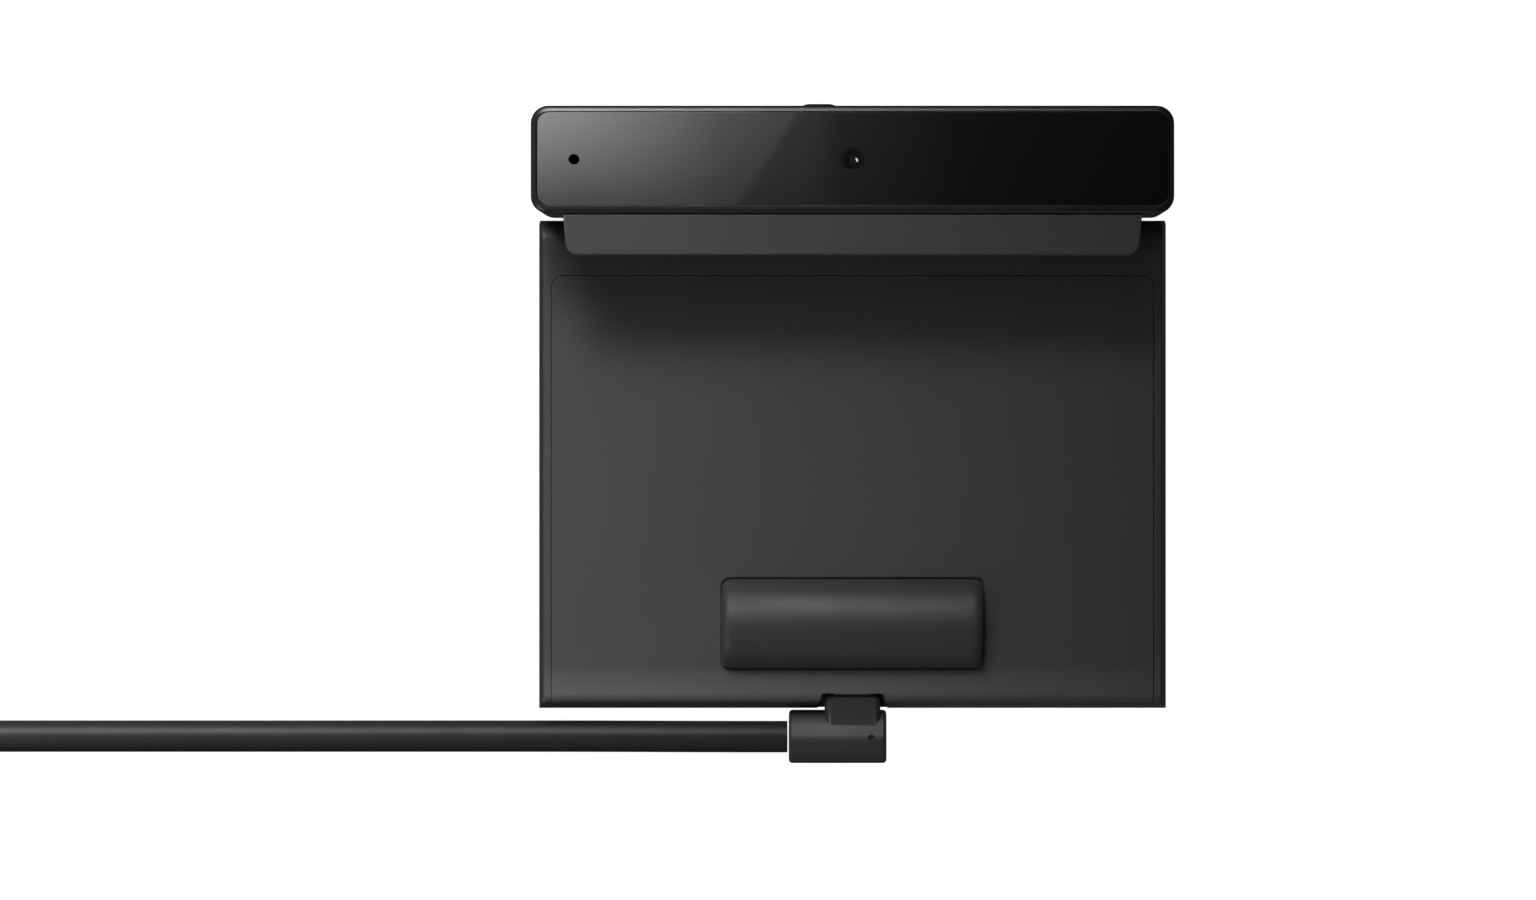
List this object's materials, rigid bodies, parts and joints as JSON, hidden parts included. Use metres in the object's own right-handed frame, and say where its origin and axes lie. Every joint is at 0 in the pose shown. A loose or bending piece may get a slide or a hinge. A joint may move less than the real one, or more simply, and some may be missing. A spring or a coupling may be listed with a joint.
{
  "type": "television camera unit",
  "caption": "Camera bar with a glass front, shutter slider and front lip, hinged to a weighted rear plate with a rubber bumper and a lead.",
  "frame": {"origin": "centre of the outline without the lead, on the surface that the unit's back lies on", "axes": "+X along the camera bar, +Y from the plate's foot towards the camera bar, +Z out of the lens"},
  "size_m": [0.305, 0.1241, 0.029],
  "materials": {
    "black_plastic": "fine moulded grain, satin",
    "dark_plastic": "matt",
    "lead_plastic": "soft satin sheath",
    "window_glass": "polished, tinted black",
    "lens_glass": "polished, coated",
    "rubber": "soft, matt",
    "adhesive": "foam tape",
    "steel": "plain, nickel plated",
    "aluminium": "plain sheet",
    "circuit_board": "green solder mask",
    "chip_resin": "moulded resin",
    "flex_film": "amber film",
    "clear_plastic": "clear, polished"
  },
  "bodies": {
    "plate": {"plate_frame": "black_plastic", "plate_front_panel": "black_plastic", "plate_screw_upper_left": "steel", "plate_screw_upper_right": "steel", "plate_screw_lower_left": "steel", "plate_screw_lower_right": "steel", "bumper_adhesive": "adhesive", "bumper_pad": "rubber", "counterweight": "steel", "usb_board": "circuit_board", "usb_board_screw_left": "steel", "usb_board_screw_right": "steel", "usb_receptacle": "steel", "usb_receptacle_tongue": "dark_plastic", "flex_cable_plate": "flex_film", "hinge_bracket_left": "steel", "hinge_bracket_right": "steel", "hinge_shaft_left": "steel", "hinge_shaft_right": "steel", "hinge_washer_left": "steel", "hinge_washer_right": "steel", "usb_c_plug_body": "lead_plastic", "usb_c_plug_shell": "steel", "lead_run": "lead_plastic", "lead_coil": "lead_plastic", "cable_tie": "rubber", "lead_tail": "lead_plastic", "usb_a_plug_body": "lead_plastic", "usb_a_plug_shell": "steel"},
    "head": {"hinge_sleeve_left": "steel", "hinge_sleeve_right": "steel", "head_front_housing": "black_plastic", "head_rear_housing": "black_plastic", "front_window": "window_glass", "window_gasket": "adhesive", "front_lip": "black_plastic", "lip_pad": "rubber", "rest_pad": "rubber", "head_screw_left": "steel", "head_screw_right": "steel", "lens_barrel": "dark_plastic", "lens_front_element": "lens_glass", "lens_rear_element": "lens_glass", "lens_holder": "dark_plastic", "image_sensor": "chip_resin", "main_board": "circuit_board", "main_board_screw_left": "steel", "main_board_screw_right": "steel", "image_processor": "chip_resin", "shield_can": "steel", "thermal_pad": "rubber", "heat_spreader": "aluminium", "microphone": "chip_resin", "microphone_gasket": "rubber", "status_led": "clear_plastic", "light_pipe": "clear_plastic", "flex_cable_head": "flex_film", "shutter_detent_spring": "steel"},
    "shutter": {"shutter_blade": "dark_plastic", "shutter_knob": "dark_plastic"}
  },
  "joints": [
    {"name": "head_fold", "type": "hinge", "parent": "plate", "child": "head", "pos_m": [0, 0.03141, 0.0042], "axis": [1, 0, 0], "range_deg": [0, 65]},
    {"name": "shutter_slide", "type": "slide", "parent": "head", "child": "shutter", "axis": [1, 0, 0], "range_m": [0, 0.01]}
  ]
}
